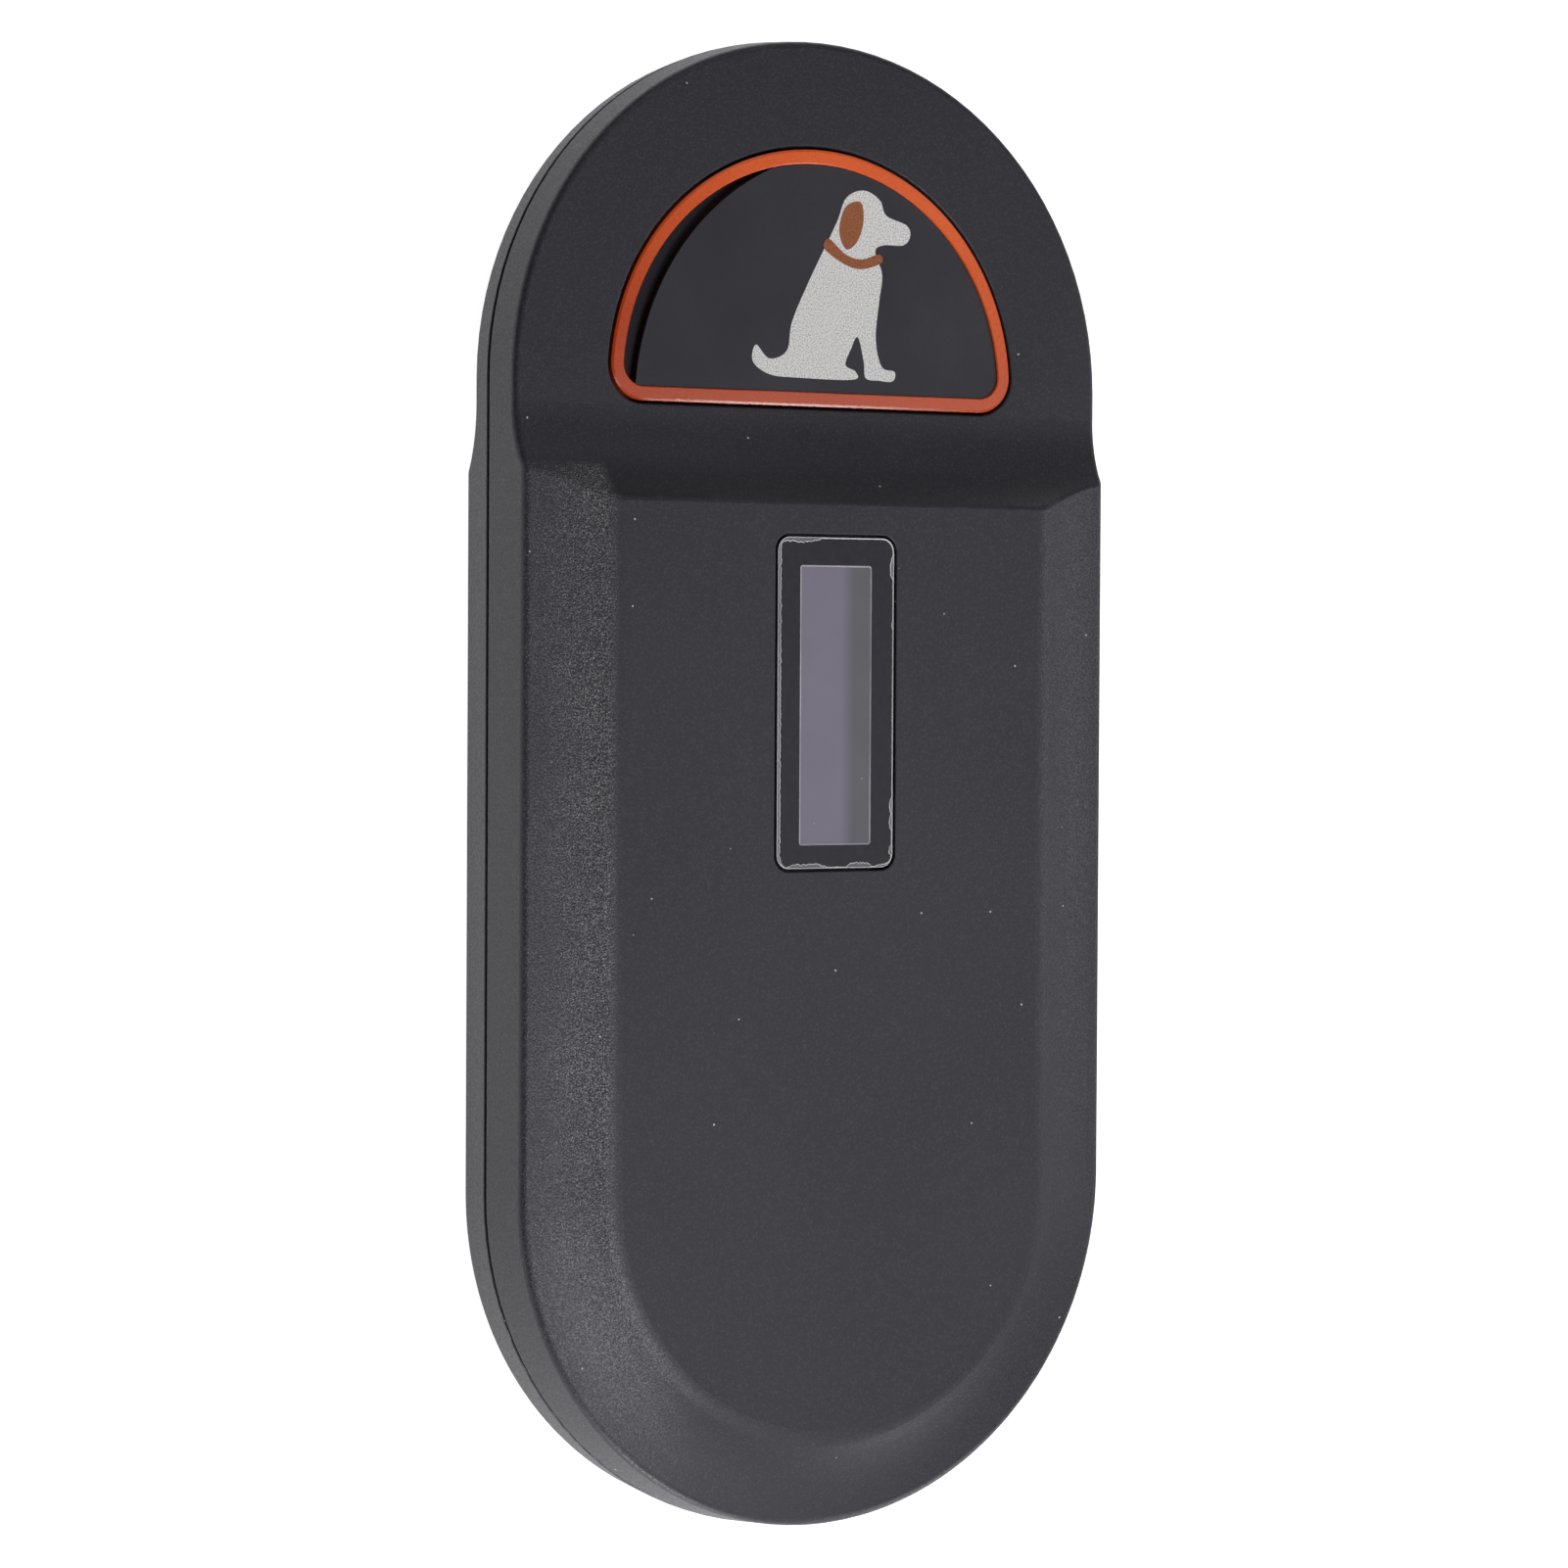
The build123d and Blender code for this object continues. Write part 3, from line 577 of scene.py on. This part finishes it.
def arc(middle, radius, start, end, steps):
    """Points on an arc, with both its ends."""
    angles = [start + (end - start) * step / steps for step in range(steps + 1)]
    return [middle + radius * Vector((math.cos(a), math.sin(a))) for a in angles]


def half_moon(radius, top_y, bottom_y, corner):
    """A circle cut off by a straight bottom, with round corners."""
    middle_y = top_y - radius
    corner_y = bottom_y + corner
    corner_x = math.sqrt((radius - corner) ** 2 - (corner_y - middle_y) ** 2)
    turn = math.atan2(corner_y - middle_y, corner_x)
    down = 1.5 * math.pi
    crown = arc(Vector((0, middle_y)), radius, turn, math.pi - turn, FRAME_ARC_STEPS)
    left = arc(Vector((-corner_x, corner_y)), corner, math.pi - turn, down, FRAME_CORNER_STEPS)
    right = arc(Vector((corner_x, corner_y)), corner, down, 2 * math.pi + turn, FRAME_CORNER_STEPS)
    return crown + left[1:] + right[:-1]


def button_ring(materials):
    """The half-moon frame of the button: a flat top with a crisp bevel along both edges."""
    low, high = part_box("button_frame")
    inset, drop = FRAME_BEVEL
    profile = [(0, low.z), (0, high.z - drop), (inset, high.z), (FRAME_WIDTH - FRAME_INNER_BEVEL, high.z),
               (FRAME_WIDTH, high.z - FRAME_INNER_BEVEL), (FRAME_WIDTH, low.z)]

    def fill(bm):
        loops = []
        for inward, z in profile:
            outline = half_moon(FRAME_R - inward, high.y - inward, low.y + inward, FRAME_CORNER - inward)
            loops.append([(point.x, point.y, z) for point in outline])
        join_loops(bm, loops, closed=True)

    ring = new_piece("button_ring", fill, materials["button_orange"])
    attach(ring, "scan_button")
    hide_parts("button_frame")


# ---- Print on the button: a plain sitting dog, in millimetres from the middle of its base ----

DOG_SCALE = 1.055
DOG_BODY = [
    (5.6, 0.0), (5.8, 0.8), (4.5, 1.2), (3.9, 3.5), (4.2, 6.5), (4.5, 8.9), (3.8, 10.8), (4.6, 11.4),
    (6.6, 11.5), (7.3, 12.3), (6.9, 13.2), (4.9, 13.9), (4.2, 15.2), (2.6, 15.9), (0.9, 15.2),
    (0.0, 13.2), (-1.4, 10.6), (-3.0, 7.6), (-4.4, 4.6), (-4.9, 2.2), (-6.6, 1.5), (-7.9, 2.6),
    (-8.2, 1.2), (-6.6, 0.2), (-4.0, 0.0), (1.6, 0.0), (1.9, 0.7), (0.9, 1.2), (1.4, 2.5),
    (2.1, 3.6), (2.7, 1.6), (2.9, 0.2), (4.2, 0.0),
]
DOG_EAR = [(2.3, 14.9), (0.8, 14.4), (0.2, 12.4), (0.9, 10.9), (2.0, 11.6), (2.6, 13.3)]
DOG_COLLAR = [
    (-1.3, 10.9), (0.6, 9.7), (2.4, 9.3), (4.4, 9.9), (4.2, 10.6), (2.4, 10.1), (0.8, 10.5), (-0.8, 11.7),
]
DOG_BASE = (2.3 * MM, 35.9 * MM)
INK_THICK = 0.02 * MM


def printed_shape(name, points, layer, material):
    """A thin layer of ink with a smooth outline, on the film of the button."""
    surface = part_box("button_label")[1].z + layer * INK_THICK

    def fill(bm):
        outline = [point * DOG_SCALE * MM for point in smooth_loop(points)]
        ring = [bm.verts.new((DOG_BASE[0] + p.x, DOG_BASE[1] + p.y, surface)) for p in outline]
        face = bm.faces.new(ring)
        made = bmesh.ops.extrude_face_region(bm, geom=[face])["geom"]
        raised = [item for item in made if isinstance(item, bmesh.types.BMVert)]
        bmesh.ops.translate(bm, verts=raised, vec=(0, 0, INK_THICK))
        bmesh.ops.triangulate(bm, faces=[f for f in bm.faces if len(f.verts) > 4])

    piece = new_piece(name, fill, material)
    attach(piece, "scan_button")


def button_print(materials):
    """The dog, with its ear and collar in a second ink on top."""
    printed_shape("print_dog", DOG_BODY, 0, materials["ink_white"])
    printed_shape("print_ear", DOG_EAR, 1, materials["ink_brown"])
    printed_shape("print_collar", DOG_COLLAR, 1, materials["ink_brown"])


# ---- Stage ----

FLOOR_RINGS = [(0.05, 0), (0.4, 0), (2.4, 0), (2.5, 0.03), (2.55, 0.4)]    # radius and height
FLOOR_STEPS = 96
FLOOR_GLOW_NEAR = (0.97, 0.97, 0.97)
FLOOR_GLOW_FAR = (0.22, 0.22, 0.22)
FLOOR_GLOW_FADES = (0.14, 0.8)


def make_floor():
    """A round pale floor that turns up into a low wall far from the object."""
    angles = [2 * math.pi * step / FLOOR_STEPS for step in range(FLOOR_STEPS)]

    def fill(bm):
        join_loops(bm, [[(radius * math.cos(a), radius * math.sin(a), z) for a in angles]
                        for radius, z in FLOOR_RINGS])
        inner_edge = [e for e in bm.edges if e.is_boundary and e.verts[0].co.z < 0.01]
        bmesh.ops.holes_fill(bm, edges=inner_edge)

    material, tree, shader = new_material("floor")
    cloud = spread(tree, noise_value(tree, 4.0), 0.0, 1.0)
    pale = mix_colour(tree, cloud, (0.44, 0.44, 0.44), (0.48, 0.48, 0.48))
    tree.links.new(pale, shader.inputs["Base Color"])
    shader.inputs["Roughness"].default_value = 0.8
    far = spread(tree, object_distance(tree), 0.0, 1.0, *FLOOR_GLOW_FADES)
    tree.links.new(mix_colour(tree, far, FLOOR_GLOW_NEAR, FLOOR_GLOW_FAR), shader.inputs["Emission Color"])
    shader.inputs["Emission Strength"].default_value = 1.0
    floor = new_piece("floor", fill, material)
    floor.location.z = cad_low.z


def make_camera():
    """The camera looks down at the face from its left."""
    turn_to_left = math.radians(31.70)
    tilt = math.radians(1.31)
    roll = math.radians(-0.31)
    aside = Vector((-0.39 * MM, 0.03 * MM, 456.03 * MM))
    seam_middle = Vector((0, 0, 5.5 * MM))
    to_view = (Matrix.Rotation(roll, 3, "Z") @ Matrix.Rotation(tilt, 3, "X")
               @ Matrix.Rotation(turn_to_left, 3, "Y"))
    from_view = to_view.transposed()
    data = bpy.data.cameras.new("camera")
    data.sensor_width = 36.0
    data.lens = 117.67
    data.clip_start = 0.01
    camera = bpy.data.objects.new("camera", data)
    bpy.context.scene.collection.objects.link(camera)
    camera.matrix_world = Matrix.Translation(seam_middle + from_view @ aside) @ from_view.to_4x4()
    bpy.context.scene.camera = camera


# Direction from the scanner, distance and size in metres, and power in watts
LIGHTS = {
    "top_low": ((0.05, -0.4, 0.9), 0.5, 0.18, 1.1),
    "top_left_low": ((-0.3, -0.35, 0.88), 0.5, 0.18, 0.16),
    "top_right": ((0.52, -0.05, 0.85), 0.55, 0.2, 0.17),
    "right": ((0.87, 0.0, 0.49), 0.7, 0.25, 0.74),
    "back_high": ((0.2, 0.7, 0.68), 0.7, 0.25, 0.49),
    "front_low": ((-0.1, -0.98, 0.14), 0.5, 0.1, 1.12),
    "front_low_right": ((0.65, -0.74, 0.14), 0.5, 0.1, 0.43),
    "glint": ((0.54, -0.667, 0.513), 0.46, 0.04, 0.06),
}


def area_light(name, direction, distance, size, power):
    """A round soft light that shines at the middle of the scanner from a direction."""
    data = bpy.data.lights.new(name, "AREA")
    data.shape = "DISK"
    data.size = size
    data.energy = power
    light = bpy.data.objects.new(name, data)
    bpy.context.scene.collection.objects.link(light)
    away = Vector(direction).normalized()
    light.location = away * distance
    light.rotation_euler = away.to_track_quat("Z", "Y").to_euler()


def make_lights():
    """A dim even world, the studio lights, and colours shown as they are."""
    world = bpy.data.worlds.new("studio")
    world.use_nodes = True
    background = world.node_tree.nodes["Background"]
    background.inputs["Color"].default_value = (0.9, 0.93, 1.0, 1.0)
    background.inputs["Strength"].default_value = 0.02
    bpy.context.scene.world = world
    for name, (direction, distance, size, power) in LIGHTS.items():
        area_light(name, direction, distance, size, power)
    view = bpy.context.scene.view_settings
    view.view_transform = "Standard"
    view.look = "None"


# ---- Build ----

materials = make_materials()
dress_nodes(materials)
display_lens(materials)
lens_glue(materials)
button_ring(materials)
button_print(materials)
make_floor()
make_camera()
make_lights()
